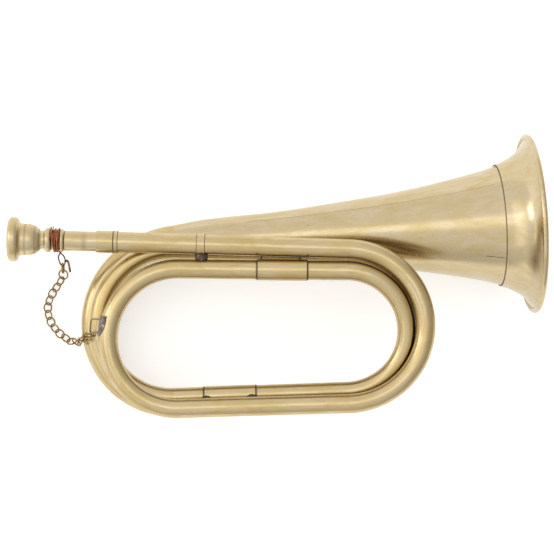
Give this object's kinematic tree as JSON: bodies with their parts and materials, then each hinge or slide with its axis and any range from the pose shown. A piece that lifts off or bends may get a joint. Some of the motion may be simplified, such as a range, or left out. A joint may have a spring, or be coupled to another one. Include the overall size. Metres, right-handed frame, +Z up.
{
  "type": "bugle",
  "caption": "Small coiled brass bugle lying on its side, with a flared bell, a push-in mouthpiece and a keeper chain from mouthpiece to coil.",
  "frame": {"origin": "under the middle of the horn, on the surface that it lies on", "axes": "+X towards the bell mouth, +Y across the coil towards the leadpipe side, +Z up"},
  "size_m": [0.2866, 0.1486, 0.0942],
  "materials": {
    "tube_brass": "polished, lightly tarnished",
    "bell_brass": "polished, lightly tarnished",
    "mouthpiece_brass": "polished",
    "chain_brass": "antique, dull",
    "bracket_brass": "dull",
    "copper_wire": "bare, oxidised",
    "solder": "dull"
  },
  "bodies": {
    "horn": {"bell": "bell_brass", "bell_garland": "bell_brass", "bell_rim_bead": "bell_brass", "bow_left_back": "tube_brass", "bow_left_front": "tube_brass", "bow_left_middle": "tube_brass", "bow_right_back": "tube_brass", "bow_right_front": "tube_brass", "bow_right_inner": "tube_brass", "chain_loop": "bracket_brass", "chain_plate": "bracket_brass", "ferrule_bottom_back": "tube_brass", "ferrule_bottom_middle": "tube_brass", "ferrule_top_front": "tube_brass", "ferrule_top_middle": "tube_brass", "leadpipe": "tube_brass", "leadpipe_band": "tube_brass", "receiver_ring": "tube_brass", "receiver_sleeve": "tube_brass", "run_bottom_back_left": "tube_brass", "run_bottom_back_right": "tube_brass", "run_bottom_front": "tube_brass", "run_bottom_middle_left": "tube_brass", "run_bottom_middle_right": "tube_brass", "run_top_front_left": "tube_brass", "run_top_front_right": "tube_brass", "run_top_middle_left": "tube_brass", "run_top_middle_right": "tube_brass", "solder_bottom_back": "solder", "solder_bottom_left": "solder", "solder_bottom_right": "solder", "solder_leadpipe_back": "solder", "solder_stay_top": "solder"},
    "keeper": {"keeper_wire": "copper_wire"},
    "mouthpiece": {"mouthpiece": "mouthpiece_brass"},
    "chain_01": {"chain_ring_01": "chain_brass", "chain_ring_02": "chain_brass", "chain_ring_03": "chain_brass"},
    "chain_02": {"chain_ring_04": "chain_brass", "chain_ring_05": "chain_brass", "chain_ring_06": "chain_brass"},
    "chain_03": {"chain_ring_07": "chain_brass", "chain_ring_08": "chain_brass", "chain_ring_09": "chain_brass"},
    "chain_04": {"chain_ring_10": "chain_brass", "chain_ring_11": "chain_brass", "chain_ring_12": "chain_brass"},
    "chain_05": {"chain_ring_13": "chain_brass", "chain_ring_14": "chain_brass", "chain_ring_15": "chain_brass"},
    "chain_06": {"chain_ring_16": "chain_brass", "chain_ring_17": "chain_brass", "chain_ring_18": "chain_brass"}
  },
  "joints": [
    {"name": "mouthpiece_slide", "type": "slide", "parent": "horn", "child": "keeper", "axis": [-0.9725, 0.0381, -0.2298], "range_m": [0, 0.0085]},
    {"name": "mouthpiece_turn", "type": "hinge", "parent": "keeper", "child": "mouthpiece", "pos_m": [-0.14109, 0.01893, 0.02022], "axis": [0.9725, -0.0381, 0.2298], "continuous": true},
    {"name": "chain_06_swing", "type": "hinge", "parent": "horn", "child": "chain_06", "pos_m": [-0.1002, -0.03062, 0.02479], "axis": [0, 0, 1], "range_deg": [-32.4, 3]},
    {"name": "chain_05_swing", "type": "hinge", "parent": "chain_06", "child": "chain_05", "pos_m": [-0.10228, -0.03364, 0.01361], "axis": [0, 0, 1], "range_deg": [-3, 29.1]},
    {"name": "chain_04_swing", "type": "hinge", "parent": "chain_05", "child": "chain_04", "pos_m": [-0.10764, -0.03308, 0.0039], "axis": [0, 0, 1], "range_deg": [-3, 11.8]},
    {"name": "chain_03_swing", "type": "hinge", "parent": "chain_04", "child": "chain_03", "pos_m": [-0.11577, -0.02533, 0.0026], "axis": [0, 0, 1], "range_deg": [-3, 7]},
    {"name": "chain_02_swing", "type": "hinge", "parent": "chain_03", "child": "chain_02", "pos_m": [-0.11799, -0.0142, 0.00261], "axis": [0, 0, 1], "range_deg": [-3, 8.4]},
    {"name": "chain_01_swing", "type": "hinge", "parent": "chain_02", "child": "chain_01", "pos_m": [-0.11274, -0.00387, 0.00285], "axis": [0, 0, 1], "range_deg": [-5.9, 3]}
  ],
  "couplings": [
    {"joint": "chain_06_swing", "follows": "mouthpiece_slide", "rad_per_m": -60.381},
    {"joint": "chain_05_swing", "follows": "mouthpiece_slide", "rad_per_m": 53.57},
    {"joint": "chain_04_swing", "follows": "mouthpiece_slide", "rad_per_m": 18.012},
    {"joint": "chain_03_swing", "follows": "mouthpiece_slide", "rad_per_m": 8.2703},
    {"joint": "chain_02_swing", "follows": "mouthpiece_slide", "rad_per_m": 11.131},
    {"joint": "chain_01_swing", "follows": "mouthpiece_slide", "rad_per_m": -5.976}
  ]
}
